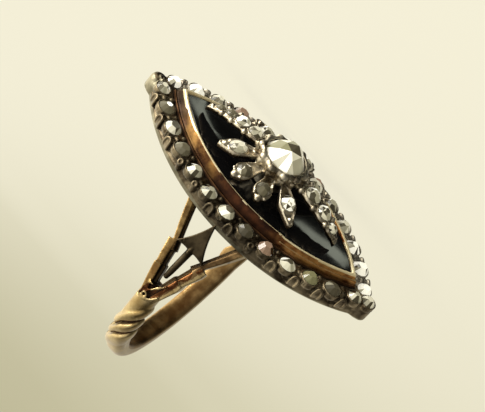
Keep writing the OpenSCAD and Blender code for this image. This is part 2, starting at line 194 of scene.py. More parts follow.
# The room's colour, and where its sky, its dark wall and its lit floor are, each with the bounds of its fade
# and the brightness at both of them
ROOM_COLOUR, SEEN_COLOUR = (1, 0.955, 0.8, 1), (0.52, 0.49, 0.33, 1)
ROOM_PARTS = [((-0.75, 0.6, -0.25), -0.25, 1.0, 0.14, 2.1), ((0.643, 0.72, -0.26), 0.55, 0.85, 1.0, 0.04),
              ((0.1, -0.6, -0.8), 0.45, 0.9, 0.0, 0.4)]


def at(place):
    return Matrix.Translation(place)


def turned(angle, axis):
    return Matrix.Rotation(math.radians(angle), 4, axis)


UP = Vector((0, 0, 1))
AT_REST = at(REST_PLACE) @ turned(REST_TURN, "Z") @ turned(REST_ROLL, "Y")
TO_ROW = Matrix.Scale(0.001, 4) @ AT_REST
TURN_TO_ROW = AT_REST.to_3x3()
CAMERA_BACK = CAMERA_RIGHT.cross(CAMERA_UP)
HOOPED = at((0, HOOP_Y, 0)) @ turned(HOOP_LEAN, "X")
IN_FLOWER = at((0, FLOWER_Y, 0))
MIRROR_X = Matrix.Scale(-1, 4, (1, 0, 0))
MIRROR_Y = Matrix.Scale(-1, 4, (0, 1, 0))


# Shapes

def circle(r, z, sides, shift=0.0):
    """Points round Z at a height; shift moves them by a share of the step between two of them."""
    turns = [math.tau * (i + shift) / sides for i in range(sides)]
    return [(r * math.cos(t), r * math.sin(t), z) for t in turns]


class Shape:
    """Closed surfaces in one mesh, in millimetres of the ring's frame."""

    def __init__(self):
        self.points = []
        self.faces = []

    def add(self, points, faces, place=Matrix()):
        first = len(self.points)
        self.points += [place @ Vector(p) for p in points]
        self.faces += [[first + i for i in f] for f in faces]

    def loft(self, rings, place=Matrix(), joined=False):
        """Walls between rings of points, with both ends capped, or joined to each other."""
        n = len(rings[0])
        faces = []
        for k in range(len(rings) - (0 if joined else 1)):
            a, b = k * n, (k + 1) % len(rings) * n
            faces += [[a + i, a + (i + 1) % n, b + (i + 1) % n, b + i] for i in range(n)]
        if not joined:
            last = (len(rings) - 1) * n
            faces.append(list(range(n))[::-1])
            faces.append([last + i for i in range(n)])
        self.add([p for ring in rings for p in ring], faces, place)

    def lathe(self, profile, place=Matrix(), sides=20):
        """A profile of (radius, height) turned round Z; its ends are capped flat."""
        self.loft([circle(r, z, sides) for r, z in profile], place)

    def bead(self, centre, r, height=1.0, place=Matrix(), sides=14, steps=8):
        """A round grain, stretched in height."""
        rises = [math.pi * (i / steps - 0.5) for i in range(steps + 1)]
        profile = [(max(r * math.cos(t), 0.01 * r), height * r * math.sin(t)) for t in rises]
        self.lathe(profile, place @ at(centre), sides)

    def wire(self, path, r, place=Matrix(), up=UP, closed=False, sides=8):
        """A round wire along a path of points; its ends are capped unless it is closed."""
        path = [Vector(p) for p in path]
        rings = []
        for i, p in enumerate(path):
            before = path[i - 1] if i or closed else p
            after = path[(i + 1) % len(path)] if closed or i < len(path) - 1 else p
            along = (after - before).normalized()
            aside = along.cross(Vector(up)).normalized()
            other = along.cross(aside)
            rings.append([p + (aside * x + other * y) * r for x, y, z in circle(1, 0, sides)])
        self.loft(rings, place, joined=closed)

    def hoop(self, major, minor, place=Matrix(), steps=18):
        """A small ring of wire round Z."""
        self.wire(circle(major, 0, steps), minor, place, closed=True)

    def mirrored(self, matrix):
        """Adds a mirrored copy of everything so far."""
        n = len(self.points)
        self.points += [matrix @ p for p in self.points]
        self.faces += [[n + i for i in f[::-1]] for f in self.faces[:]]

    def mesh(self, name, open_z=math.inf):
        """The surfaces as a mesh, without the faces that lie above a height; bare points get their hull."""
        mesh = bpy.data.meshes.new(name)
        mesh.from_pydata([tuple(p) for p in self.points], [], self.faces)
        bm = bmesh.new()
        bm.from_mesh(mesh)
        if not self.faces:
            bmesh.ops.convex_hull(bm, input=bm.verts)
        above = [f for f in bm.faces if f.calc_center_median().z > open_z]
        bmesh.ops.delete(bm, geom=above, context="FACES")
        bmesh.ops.recalc_face_normals(bm, faces=bm.faces)
        bm.to_mesh(mesh)
        bm.free()
        return mesh


def added(name, data):
    """A new object in the scene."""
    thing = bpy.data.objects.new(name, data)
    bpy.context.scene.collection.objects.link(thing)
    return thing


def fused(shape, name, voxel, smooth_steps, kept_share):
    """One skin over all the surfaces of a shape, like solder run into their corners."""
    rough = added(name, shape.mesh(name))
    remesh = rough.modifiers.new("skin", "REMESH")
    remesh.mode = "VOXEL"
    remesh.voxel_size = voxel
    smooth = rough.modifiers.new("soft", "SMOOTH")
    smooth.factor = 0.5
    smooth.iterations = smooth_steps
    if kept_share < 1:
        rough.modifiers.new("fewer", "DECIMATE").ratio = kept_share
    graph = bpy.context.evaluated_depsgraph_get()
    mesh = bpy.data.meshes.new_from_object(rough.evaluated_get(graph))
    bpy.data.objects.remove(rough)
    mesh.name = name
    return mesh


MATERIALS = {}


def painted(mesh, choose):
    """Gives each face the material whose name choose(middle, normal) returns."""
    numbers = {}
    for face in mesh.polygons:
        name = choose(face.center, face.normal)
        if name not in numbers:
            numbers[name] = len(numbers)
            mesh.materials.append(MATERIALS[name])
        face.material_index = numbers[name]
    return mesh


def piece(name, mesh, nodes, sharp_angle=None):
    """Puts a finished mesh in place of CAD nodes; sharp_angle None leaves its facets flat."""
    mesh.transform(TO_ROW)
    if sharp_angle is not None:
        mesh.shade_smooth()
        mesh.set_sharp_from_angle(angle=math.radians(sharp_angle))
    thing = added(name, mesh)
    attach(thing, "root")
    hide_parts(*nodes)


# Outlines of the head

def arc_r(length, width):
    return ((length / 2) ** 2 + (width / 2) ** 2) / width


def marquise(length, width, inset, z, steps=96):
    """Points of a marquise between two arcs, drawn in from its edge, at a height."""
    r = arc_r(length, width)
    middle = r - width / 2
    end = math.acos(middle / (r - inset))
    arc = [end * (2 * i / steps - 1) for i in range(steps)]
    right = [((r - inset) * math.cos(a) - middle, (r - inset) * math.sin(a), z) for a in arc]
    return right + [(-x, -y, z) for x, y, z in right]


ROW_R = arc_r(ROW_L, ROW_W)
ROW_TURN = 2 * math.asin(ROW_END_Y / ROW_R) / (SIDE_STONES - 1)


def row_angle(k):
    return (k - (SIDE_STONES - 1) / 2) * ROW_TURN


def row_place(k, side, out=0.0):
    """A place beside the row of border stones: number along it, side, distance outwards."""
    a = row_angle(k)
    return Vector((side * ((ROW_R + out) * math.cos(a) - ROW_R + ROW_W / 2), (ROW_R + out) * math.sin(a), 0))


def row_frame(k, side, out=0.0):
    """A frame beside the row of border stones: X outwards, Y along the row, Z up."""
    turn = math.degrees(side * row_angle(k)) + (0 if side > 0 else 180)
    return at(row_place(k, side, out)) @ turned(turn, "Z")


def border_stones():
    """Place and radius of each border stone."""
    stones = []
    for side in (1, -1):
        for k in range(SIDE_STONES):
            stones.append((row_place(k, side), END_STONE_R if k in (0, SIDE_STONES - 1) else STONE_R))
    return stones + [(Vector((0, TIP_STONE_Y, 0)), END_STONE_R)]


# The silver border

def cup(s, r, place, top, foot, wall=0.1):
    """The round collet of one stone, burnished over its edge."""
    s.lathe([(0.55 * r, foot), (0.8 * r, 0.6 * foot), (r + wall, -0.45), (r + wall, top - 0.06),
             (r + wall - 0.04, top), (r + 0.02, top + 0.01), (r - 0.02, top - 0.05), (r + GAP, -0.12),
             (r + GAP, -SEAT_DEPTH + 0.02), (0.02, -SEAT_DEPTH + 0.02)], at(place), 24)


def rib(s, place, ringed, rng):
    """The blunt end of a half column between two collets: an arch round its hollow face, or a small ring."""
    r = RIB_R + rng.uniform(-0.02, 0.03)
    s.lathe([(0.1, -1.2), (0.24, -1.1), (0.32, -0.8), (0.32, -0.3), (0.24, -0.14), (0.02, -0.1)],
            place @ at((-0.25, 0, 0)), 16)
    if ringed:
        s.hoop(0.21, 0.12, place @ at((0.0, 0, -0.2)) @ turned(48, "Y"))
        return
    low = -1.1 + rng.uniform(-0.06, 0.06)
    arch = [(-0.06, -0.7 * r, low), (0.06, -0.85 * r, -0.8), (0.1, -0.85 * r, -0.45), (0.06, -0.7 * r, -0.22),
            (0.0, -0.35 * r, -0.1), (-0.02, 0, -0.06)]
    s.wire(arch + [(x, -y, z) for x, y, z in arch[-2::-1]], 0.125, place, up=(1, 0, 0))


def border_tip(s, y, top):
    """The knob at one tip of the head, which runs smoothly into the wall."""
    s.lathe([(0.64, -BORDER_H), (KNOB_R, -1.5), (KNOB_R, top - 0.45), (0.62, top - 0.16), (0.38, top),
             (0.02, top + 0.03)], at((0, y, 0)), 28)
    for inward, r in TIP_ROUNDS:
        round_y = y - math.copysign(inward, y)
        s.lathe([(r - 0.08, -BORDER_H), (r, -1.5), (r, top - 0.55), (r - 0.12, top - 0.35),
                 (0.02, top - 0.3)], at((0, round_y, 0)), 28)


def border_shape(rng):
    """The wall with its lip, silver run up between the collets, the ribs and the grains."""
    s = Shape()
    wall = [(0.06, -BORDER_H), (0, -1.54), (0, -1.12), (0.05, -1.02), (0.13, -0.94), (0.13, -0.4),
            (0.2, -0.2), (0.36, -0.1)]
    rings = [marquise(HEAD_L, HEAD_W, inset, z) for inset, z in wall]
    rings += [marquise(COLLAR_L, COLLAR_W, -0.06, z) for z in (-0.12, -BORDER_H)]
    s.loft(rings, joined=True)
    for place, r in border_stones():
        cup(s, r, place, 0.04 + rng.uniform(-0.04, 0.05), -0.95)
    for side in (1, -1):
        for k in range(SIDE_STONES - 1):
            rib(s, row_frame(k + 0.5, side, RIB_OUT), k in RINGED_RIBS, rng)
            place = row_frame(k + 0.5, side)
            for out, shift, z, r, low, high in ROW_GRAINS:
                spot = (out, rng.uniform(-shift, shift), z)
                s.bead(spot, r + rng.uniform(-0.05, 0.06), rng.uniform(low, high), place)
            s.bead((-0.36, rng.uniform(-0.05, 0.05), -0.2), 0.3, 0.7, place)
    border_tip(s, -TIP_STONE_Y, 0.0)
    border_tip(s, TIP_STONE_Y, -0.15)
    s.bead((0.1, -TIP_STONE_Y + 0.1, -0.02), 0.24, 0.8)
    s.bead((0.36, -TIP_STONE_Y + 0.42, 0.04), 0.18)
    return s


def border_part(middle, normal):
    """The border's metal: painted paler on the far side as painted light, worn at the wall's foot and at the
    tip towards -Y.
    """
    # Painted light: the far side gets a paler, lit copy of the silver
    if middle.x < LIT_SIDE_X:
        return "painted_lit_silver"
    foot_z = FOOT_Z if middle.y < LOWER_FOOT_Y else LOWER_FOOT_Z
    worn_foot = middle.z < foot_z + 0.12 * noise.noise(middle * 1.1)
    worn_tip = middle.y < WORN_TIP_Y and normal.z < 0.8
    return "foot_silver" if worn_foot or worn_tip else "silver"


# The gold collar and the black plaque

def collar_shape():
    """The collar: one clean slope towards -Y, and past the break in its edge a slope with a ledge."""
    foot = [(0.03, -BORDER_H), (0, -1.55), (0, 0.08), (0.03, COLLAR_LEDGE_Z)]
    back = [(COLLAR_T, 0.55), (COLLAR_T, PLATE_T - BORDER_H)]
    plain = foot + [
        (0.13, 0.15), (0.17, 0.19), (0.22, 0.3), (0.27, 0.42), (0.31, 0.52), (0.37, 0.7), (0.42, 0.82),
        (0.46, 0.9), (0.53, COLLAR_H), (0.6, COLLAR_H), (0.67, 0.9), (0.71, 0.78)] + back
    stepped = foot + [
        (0.1, 0.16), (0.12, 0.3), (0.14, 0.42), (0.2, 0.5), (0.31, 0.5), (0.37, 0.62), (0.4, 0.76),
        (0.42, 0.85), (0.47, 0.9), (0.55, 0.9), (0.63, 0.86), (0.7, 0.74)] + back
    rings = []
    for one, other in zip(plain, stepped):
        both = [marquise(COLLAR_L, COLLAR_W, *spot, COLLAR_STEPS) for spot in (one, other)]
        ring = []
        for a, b in zip(*both):
            t = min(max((a[1] - BREAK_Y) / BREAK_L, 0), 1)
            ring.append(Vector(a).lerp(Vector(b), t))
        rings.append(ring)
    s = Shape()
    s.loft(rings)
    return s


def collar_part(middle, normal):
    """The collar's metal: its slope, its edge with a painted highlight, its dull foot and back, and its ledge
    with a pale painted highlight.
    """
    x, y, z = middle
    # Painted highlight: a pale line along the ledge past the break
    if y > BREAK_Y and 0.49 < z < 0.56 and normal.z > 0.4:
        return "collar_ledge"
    # Painted highlight along the collar's top edge, above a height that changes along the head
    ragged = 0.03 * noise.noise(Vector((x, y, 0)) * 1.6)
    if z + ragged > next(highlight_z for end, highlight_z in EDGE_HIGHLIGHT_FROM if y <= end):
        return "collar_edge_highlight"
    return "collar_slope" if z > 0.145 else "collar_foot"


PLAQUE_INSET, PLAQUE_TOP_Z = COLLAR_T + GAP, PLAQUE_EDGE_Z + PLAQUE_DOME
PLAQUE_HALF_W = COLLAR_W / 2 - PLAQUE_INSET
PLAQUE_DOME_R = arc_r(2 * PLAQUE_HALF_W, 2 * PLAQUE_DOME)


def plaque_shape():
    """The plaque: an upright edge, and a top that is an arc from one long side to the other."""
    def domed(inset, lower=0.0):
        ring = marquise(COLLAR_L, COLLAR_W, inset, PLAQUE_TOP_Z - PLAQUE_DOME_R - lower)
        return [(x, y, z + math.sqrt(PLAQUE_DOME_R ** 2 - x ** 2)) for x, y, z in ring]

    shoulder = PLAQUE_INSET + 0.05
    rings = [marquise(COLLAR_L, COLLAR_W, PLAQUE_INSET, -BORDER_H + PLATE_T + GAP)]
    rings += [domed(PLAQUE_INSET, 0.05)]
    rings += [domed(shoulder + (PLAQUE_HALF_W - 0.1) * (i / 12)) for i in range(13)]
    s = Shape()
    s.loft(rings)
    return s


# The silver flower

def petal_place(turn, stone):
    """The frame of a petal along +X, sloping down from its root to its tip."""
    slope = Matrix.Identity(4)
    slope[2][0], slope[2][3] = -PETAL_SLOPE, PETAL_SLOPE * stone
    return IN_FLOWER @ turned(turn, "Z") @ slope


def drop(stone, tip, r, inset, z, sides=36):
    """Outline of a petal along +X: round at its stone, blunt at its tip, thin at its root."""
    circles = [(stone, r + PETAL_RIM - inset), (tip - PETAL_TIP_R, PETAL_TIP_R - inset),
               (PETAL_ROOT, PETAL_ROOT_R - inset)]
    ring = []
    for i in range(sides):
        a = math.tau * i / sides
        x, r = max(circles, key=lambda c: c[0] * math.cos(a) + c[1])
        ring.append((x + r * math.cos(a), r * math.sin(a), z))
    return ring


def burnished(s, r, section, place, sides, top=0.0):
    """The collet of one stone, burnished over its edge."""
    profile = [(r + out, top + z) for out, z in section]
    s.lathe(profile + [(0.02, profile[-1][1])], place, sides)


def petal(s, turn, stone, tip, r, rng):
    """A drop-shaped plate with a raised rim, burnished close round its stone, and a grain at its tip."""
    place = petal_place(turn, stone)
    top = PETAL_Z + rng.uniform(-0.02, 0.03)
    s.loft([drop(stone, tip, r, inset, top + z) for inset, z in PETAL_SECTION], place)
    burnished(s, r, PETAL_COLLET, place @ at((stone, 0, 0)), 28, top)
    long = tip > LONG_TIP
    grain = place @ at((tip - (0.48 if long else 0.22), 0, top - 0.1)) @ turned(45, "Z")
    s.lathe([(0.32, -0.1), (0.3, 0.06), (0.16, 0.22), (0.04, 0.3), (0.02, 0.3)], grain, 4 if long else 8)
    for side in (-1, 1):
        s.bead((stone + 0.66, 0.5 * side, top), 0.13, 0.9, place)


def leaf_size(d):
    """Half width and height of a leaf at a distance from the flower's centre."""
    for (d0, w0, z0), (d1, w1, z1) in zip(LEAF_SECTIONS, LEAF_SECTIONS[1:]):
        if d <= d1:
            t = (d - d0) / (d1 - d0)
            return w0 + (w1 - w0) * t, z0 + (z1 - z0) * t
    return LEAF_SECTIONS[-1][1:]


def on_leaf(d, reach=0.3):
    """A frame on a leaf's top, level with its slope there."""
    rise = leaf_size(d + reach)[1] - leaf_size(d - reach)[1]
    return at((0, d, leaf_size(d)[1])) @ turned(math.degrees(math.atan(rise / (2 * reach))), "X")


def leaf_edge(d, stones):
    """Half width of a leaf's scalloped edge: it follows its stones and draws in between them."""
    widest = 0.0
    for middle, r in stones:
        reach = r + LEAF_RIM
        if abs(d - middle) < reach:
            widest = max(widest, math.sqrt(reach ** 2 - (d - middle) ** 2))
    full = leaf_size(d)[0]
    return min(max(widest, 0.82 * full), full)


def leaf(s, place, stones, rng):
    """A long leaf with a raised rim, collets for its stones, and grains in its notches and at its tip."""
    rings = []
    start, end = LEAF_SECTIONS[0][0], LEAF_SECTIONS[-1][0]
    for i in range(LEAF_STEPS + 1):
        d = start + (end - start) * i / LEAF_STEPS
        w, top = leaf_edge(d, stones), leaf_size(d)[1]
        half = [(share * w, top + z) for share, z in LEAF_SECTION]
        rings.append([(-x, d, z) for x, z in half] + [(x, d, z) for x, z in half[::-1]])
    s.loft(rings, place)
    for d, r in stones:
        burnished(s, r, LEAF_COLLET, place @ on_leaf(d), 22)
    notches = [(a[0] + a[1] + b[0] - b[1]) / 2 for a, b in zip(stones, stones[1:])]
    for d in [stones[0][0] - stones[0][1] - 0.12] + notches:
        half_w, top = leaf_size(d)
        for side in (-1, 1):
            spot = at((side * (half_w - 0.2), d + rng.uniform(-0.05, 0.05), top - 0.02))
            grain = spot @ turned(rng.uniform(0, 90), "Z")
            s.lathe([(0.22, -0.3), (0.25, -0.02), (0.18, 0.15), (0.06, 0.23), (0.02, 0.23)], place @ grain, 8)
    s.bead((0, 7.12, leaf_size(7.12)[1] - 0.04), 0.24, 0.8, place)


def collet(s, rng):
    """The tall collet of the centre stone: a fluted skirt with a lump at each rib and a dimple in one."""
    foot, lip = PLAQUE_TOP_Z + GAP, CENTRE_R
    # Radius and height of points down the skirt's section, and how far it is fluted there
    skirt = [(1.4, foot, 0), (1.5, foot + 0.1, 0), (1.5, 1.5, 0.02), (1.6, 1.9, 0.08), (1.82, 2.4, 0.12),
             (2.04, 2.85, 0.14), (2.16, 3.15, 0.14), (2.21, 3.42, 0.14), (2.17, 3.62, 0.12),
             (2.04, 3.76, 0.06), (lip - 0.03, 3.78, 0), (lip - 0.06, 3.66, 0), (lip + 0.01, 3.55, 0),
             (lip + 0.03, 3.13, 0), (0.02, 3.13, 0)]
    rings = []
    for reach, z, fluted in skirt:
        ring = []
        for x, y, level in circle(1, z, 12 * COLLET_RIBS):
            r = reach + fluted * (abs(math.cos(math.atan2(y, x) * COLLET_RIBS / 2)) ** 0.6 - 0.5)
            ring.append((r * x, r * y, level))
        rings.append(ring)
    s.loft(rings, IN_FLOWER)
    for i in range(COLLET_RIBS):
        lump = IN_FLOWER @ turned(360 * i / COLLET_RIBS + rng.uniform(-3, 3), "Z")
        s.bead((2.06, 0, 3.48), 0.4 + rng.uniform(-0.04, 0.03), 0.85, lump)
        s.bead((2.04, 0, 3.0), 0.38, 1.6, lump)
    s.hoop(0.2, 0.09, IN_FLOWER @ turned(DIMPLE_A, "Z") @ at((2.2, 0, 3.4)) @ turned(55, "Y"))


def flower_shape(rng):
    s = Shape()
    collet(s, rng)
    for turn, stone, tip, r in PETALS:
        petal(s, turn, stone, tip, r, rng)
    leaf(s, IN_FLOWER, LEAF_STONES[0], rng)
    leaf(s, IN_FLOWER @ MIRROR_Y, LEAF_STONES[1], rng)
    return s


def flower_part(middle, normal):
    """The flower's metal, with painted shade on the sides of its petals and leaves."""
    x, y = middle.x, middle.y - FLOWER_Y
    away = math.hypot(x, y)
    if away < COLLET_REACH or normal.z > 0.5:
        return "flower_silver"
    if abs(x) < LEAF_REACH:
        top = leaf_size(abs(y))[1]
    else:
        bearing = math.degrees(math.atan2(y, x))
        stone = min(PETALS, key=lambda petal: abs((petal[0] - bearing + 180) % 360 - 180))[1]
        top = PETAL_Z - PETAL_SLOPE * (away - stone)
    return "flower_shade" if middle.z < top - SHADE_DEPTH else "flower_silver"


# Stones

# Tones of a stone's facets, which are the names of their materials; but for the clear deep one they are
# painted reflections: white, pale and bright facets painted highlights, dark and smoky ones painted shade
DEEP, PAINTED_WHITE, PALE, GREY, SMOKE = (f"diamond_{tone}" for tone in ("deep", "white", "pale", "grey", "smoke"))
ROSE, OLIVE, DARK, PAINTED_GLINT, FOIL = (f"diamond_{tone}" for tone in ("rose", "olive", "dark", "bright", "foil"))
# How the facets of a stone look, as painted reflections laid round it by bearing: its table, the rest from
# one bearing round the stone to the next, and the share of facets that differ from these
LOOKS = {
    "white": (PAINTED_WHITE, [(130, PAINTED_WHITE), (200, PALE), (330, PAINTED_WHITE), (360, GREY)], 0.25),
    "pale": (PALE, [(60, GREY), (120, PALE), (200, PAINTED_WHITE), (300, PALE), (360, SMOKE)], 0.35),
    "spark": (PAINTED_GLINT, [(360, SMOKE)], 0.0),
    "crest": (DARK, [(60, PALE), (100, GREY), (170, PALE), (290, PAINTED_WHITE), (360, PALE)], 0.15),
    "smoke": (SMOKE, [(140, SMOKE), (180, GREY), (230, SMOKE), (280, GREY), (360, SMOKE)], 0.1),
    "half": (GREY, [(50, DARK), (110, GREY), (160, PALE), (260, PAINTED_WHITE), (320, DEEP), (360, PALE)], 0.1),
    "rim": (DARK, [(20, PAINTED_WHITE), (60, PALE), (130, GREY), (215, PAINTED_WHITE), (290, GREY), (340, PALE),
                   (360, PAINTED_WHITE)], 0.0),
    "dark": (DARK, [(90, DARK), (130, SMOKE), (250, DARK), (290, GREY), (360, DARK)], 0.0),
    "night": (DARK, [(30, SMOKE), (150, DARK), (200, PAINTED_WHITE), (250, GREY), (330, DARK), (360, PALE)], 0.0),
    "dim": (DARK, [(60, SMOKE), (170, DARK), (240, SMOKE), (270, GREY), (330, DARK), (360, SMOKE)], 0.0),
    "rose": (ROSE, [(120, ROSE), (200, SMOKE), (360, ROSE)], 0.15),
    "olive": (OLIVE, [(150, OLIVE), (240, GREY), (360, OLIVE)], 0.1)}
BORDER_LOOKS = [
    "pale", "spark", "crest", "smoke", "half", "half", "rim", "dark", "rose", "crest", "olive", "dark",
    "half", "white", "white", "pale", "rose", "pale", "smoke", "pale", "rose", "half", "pale", "white",
    "white", "white", "pale"]
PETAL_LOOKS = ["pale", "night", "dim", "white", "pale", "half", "white", "half"]
LEAF_LOOKS = [["half", "crest", "crest"], ["pale", "white", "smoke", "smoke"]]
# The belt of corners between the girdle and the table, as shares of a stone's radius and dome, and the table
BELT, BELT_TABLE = (0.72, 0.66), 0.36
# How far a facet's normal rises: on the base below the first, on the girdle below the second, and over the
# last on the table
BASE_RISE, GIRDLE_RISE, TABLE_RISE = -0.5, 0.15, 0.95


def rose_stone(s, r, h, girdle, place, table_r, start, wobble, belt=None):
    """A rose cut: flat base, upright girdle, corner and main facets, a table, and over a belt star facets."""
    n = 12
    centre = Vector((wobble(), wobble(), 0)) * 0.08 * r

    def ring(count, radius, z, phase, loose=0.0):
        turns = [math.radians(start + phase + 360 * i / count) for i in range(count)]
        return [Vector((radius * math.cos(t) + loose * wobble(), radius * math.sin(t) + loose * wobble(), z))
                for t in turns]

    points = ring(n, r, 0, 0) + ring(n, r, girdle, 0)
    faces = [list(range(n))[::-1]] + [[i, (i + 1) % n, (i + 1) % n + n, i + n] for i in range(n)]
    b = table = 2 * n
    if belt:
        table += 6
        points += [p + centre for p in ring(6, belt[0] * r, girdle + (h - girdle) * belt[1], 0, 0.04 * r)]
        points += [p + centre for p in ring(6, table_r * r, h, 0, 0.02 * r)]
    else:
        points += [p + centre for p in ring(6, table_r * r, h, 15, 0.04 * r)]
    for i in range(6):
        j, g = (i + 1) % 6, n + 2 * i
        corner, main = [g, g + 1, b + i], [g + 1, b + j, b + i]
        if belt:
            faces += [[n + (2 * i - 1) % n, g, b + i], corner, main]
            faces += [[b + i, b + j, table + i], [b + j, table + j, table + i]]
        else:
            faces += [main, corner, [g + 1, n + (2 * i + 2) % n, b + j]]
    faces.append([table + i for i in range(6)])
    s.add(points, faces, place)


def stone_part(stones, rng):
    """Chooses the tone, a painted reflection, of each facet of stones given as (middle, up, look)."""
    def choose(middle, normal):
        place, up, look = min(stones, key=lambda stone: (stone[0] - middle).length)
        table, sides, odd = LOOKS[look]
        rise = normal.dot(up)
        if rise < BASE_RISE:
            return FOIL
        if rise > TABLE_RISE:
            return table
        if rise < GIRDLE_RISE:
            return SMOKE
        if rng.random() < odd:
            return rng.choice((DEEP, GREY, DARK))
        bearing = math.degrees(math.atan2(middle.y - place.y, middle.x - place.x)) % 360
        return next(tone for end, tone in sides if bearing <= end)
    return choose


def cut_stones(name, shape, looks, rng):
    """One node of stones; looks gives the frame and the look of each of them."""
    stones = [(where.translation, (where.to_3x3() @ UP).normalized(), look) for where, look in looks]
    mesh = painted(shape.mesh(name), stone_part(stones, rng))
    piece(name, mesh, [name.replace("stone", "diamond")])


def make_stones():
    rng = random.Random(27)

    def wobble():
        return rng.uniform(-1, 1)

    base_z = GAP - SEAT_DEPTH
    for number, ((place, r), look) in enumerate(zip(border_stones(), BORDER_LOOKS), 1):
        s = Shape()
        top = (STONE_TOP - base_z) * (r / STONE_R) ** 0.3 * rng.uniform(0.95, 1.02)
        tilt = turned(3 * wobble(), "X") @ turned(3 * wobble(), "Y")
        where = at(place + Vector((0, 0, base_z))) @ tilt
        table_r = rng.uniform(0.36, 0.56)
        rose_stone(s, r, top, GIRDLE_H, where, table_r, rng.uniform(0, 60), wobble)
        cut_stones(f"border_stone_{number:02d}", s, [(where, look)], rng)
    for number, ((turn, stone, tip, r), look) in enumerate(zip(PETALS, PETAL_LOOKS), 1):
        s = Shape()
        where = petal_place(turn, stone) @ at((stone, 0, PETAL_Z - PETAL_SEAT + GAP))
        rose_stone(s, r, PETAL_STONE_H, PETAL_GIRDLE_H, where, BELT_TABLE, 0, wobble, BELT)
        cut_stones(f"petal_stone_{number}", s, [(where, look)], rng)
    for number, side in enumerate((Matrix(), MIRROR_Y)):
        s = Shape()
        looks = []
        for (d, r), look in zip(LEAF_STONES[number], LEAF_LOOKS[number]):
            where = IN_FLOWER @ side @ on_leaf(d) @ at((0, 0, GAP - LEAF_SEAT))
            start = rng.uniform(0, 60)
            rose_stone(s, r, 0.35 + 0.6 * r, LEAF_GIRDLE_H, where, BELT_TABLE, start, wobble, BELT)
            looks.append((where, look))
        cut_stones(f"leaf_stones_{number + 1}", s, looks, rng)


# Corners of the centre stone's crown over its girdle, in fractions of its radius and of its dome
CROWN = [(0.48, -0.38, 0.62), (0.33, 0.07, 0.9), (-0.05, 0.49, 0.78), (0.46, 0.39, 0.62), (0.11, -0.36, 0.88),
         (-0.22, 0.06, 1.0), (-0.5, 0.3, 0.68), (-0.55, -0.35, 0.66), (-0.1, -0.72, 0.5)]
# Tones of its facets, which are painted reflections and glints, by the nearest of these places across the
# stone
CROWN_TONES = [
    (0.75, -0.41, PAINTED_GLINT), (0.57, -0.63, PAINTED_WHITE), (0.59, -0.18, PAINTED_GLINT), (0.34, -0.55, OLIVE),
    (0.76, 0.02, PALE), (0.59, 0.23, PAINTED_GLINT), (0.74, 0.41, PAINTED_GLINT), (0.56, 0.64, PALE), (0.25, 0.32, PALE),
    (0.28, 0.59, GREY), (0.13, 0.8, GREY), (-0.16, 0.8, GREY), (0.07, -0.08, DARK), (0.02, 0.21, DARK),
    (0.31, -0.22, OLIVE), (0.15, -0.66, OLIVE), (-0.22, -0.22, OLIVE), (-0.26, 0.28, PALE),
    (-0.4, 0.1, PALE), (-0.18, -0.48, PALE), (-0.36, -0.66, PALE), (-0.18, -0.87, PALE), (0.11, -0.87, PALE),
    (-0.6, -0.2, PALE), (-0.6, 0.5, PALE), (-0.33, 0.56, PALE)]
GIRDLE_SIDES = 14


def centre_part(middle, normal):
    """Tone of a facet of the centre stone, a painted reflection, before it is moved to the flower."""
    if normal.z < BASE_RISE:
        return FOIL
    if normal.z < GIRDLE_RISE:
        return SMOKE
    x, y = middle.x / CENTRE_R, middle.y / CENTRE_R
    return min(CROWN_TONES, key=lambda spot: math.hypot(spot[0] - x, spot[1] - y))[2]


def centre_stone():
    s = Shape()
    for z in (-CENTRE_GIRDLE_H, 0):
        s.add(circle(CENTRE_R, z, GIRDLE_SIDES, 0.5), [])
    s.add([(CENTRE_R * x, CENTRE_R * y, CENTRE_DOME * z) for x, y, z in CROWN], [])
    mesh = painted(s.mesh("centre_stone"), centre_part)
    mesh.transform(IN_FLOWER @ at((0, 0, CENTRE_Z)))
    piece("centre_stone", mesh, ["centre_diamond"])


# The hoop

def on_hoop(angle, y, r):
    a = math.radians(angle)
    return Vector((r * math.cos(a), y, HOOP_Z + r * math.sin(a)))


def outwards(p):
    """The direction from the hoop's middle line to a point."""
    return Vector((p.x, 0, p.z - HOOP_Z)).normalized()


def below_edge(edge, angle, y):
    """Angle from a carved edge to a place on the band; the edge slants across it and curls down at an end."""
    return angle - edge - EDGE_SLANT * y + CURL * max(0.0, -y - 0.3)


def carving(angle, y):
    """How far the band's surface stands out at an angle and a place across it."""
    out = 0.0
    for edge, depth in BAND_EDGES:
        d = below_edge(edge, angle, y)
        out -= depth * math.exp(-(d / GROOVE_W) ** 2 * 2.5)
        if 0 < d < LEAF_RISE_A:
            out += LEAF_RISE * math.sin(math.pi * (1 - d / LEAF_RISE_A) ** 0.6)
    past = -below_edge(BAND_EDGES[-1][0], angle, y) / KNOB_A
    if 0 < past < 1:
        out += KNOB_RISE * math.sin(math.pi * past ** 0.6)
    return out


def mouth(angle, y):
    """Depth of the hollow under the fork, in the band's front."""
    across = max(0.0, 1 - (y / MOUTH_REACH) ** 4)
    d = (angle - MOUTH_A - MOUTH_SLANT * y) / MOUTH_W
    return MOUTH_DEPTH * across * max(0.0, 1 - d ** 4)


def band_ring(angle):
    """A section of the band: flat towards the finger, full towards the outside."""
    folded = angle if angle > -90 else -180 - angle
    ring = []
    for i in range(BAND_SIDES):
        t = math.tau * i / BAND_SIDES
        c, q = math.cos(t), math.sin(t)
        y = BAND_W / 2 * math.copysign(abs(q) ** 0.8, q)
        out = BAND_T / 2 * math.copysign(abs(c) ** (0.9 if c > 0 else 0.35), c)
        face = max(0.0, c + 0.35) / 1.35
        lift = carving(folded, y)
        y += 0.75 * lift * q
        out += lift * face - (mouth(folded, y) if c > 0.3 else 0)
        ring.append(on_hoop(angle, y, HOOP_R + out))
    return ring


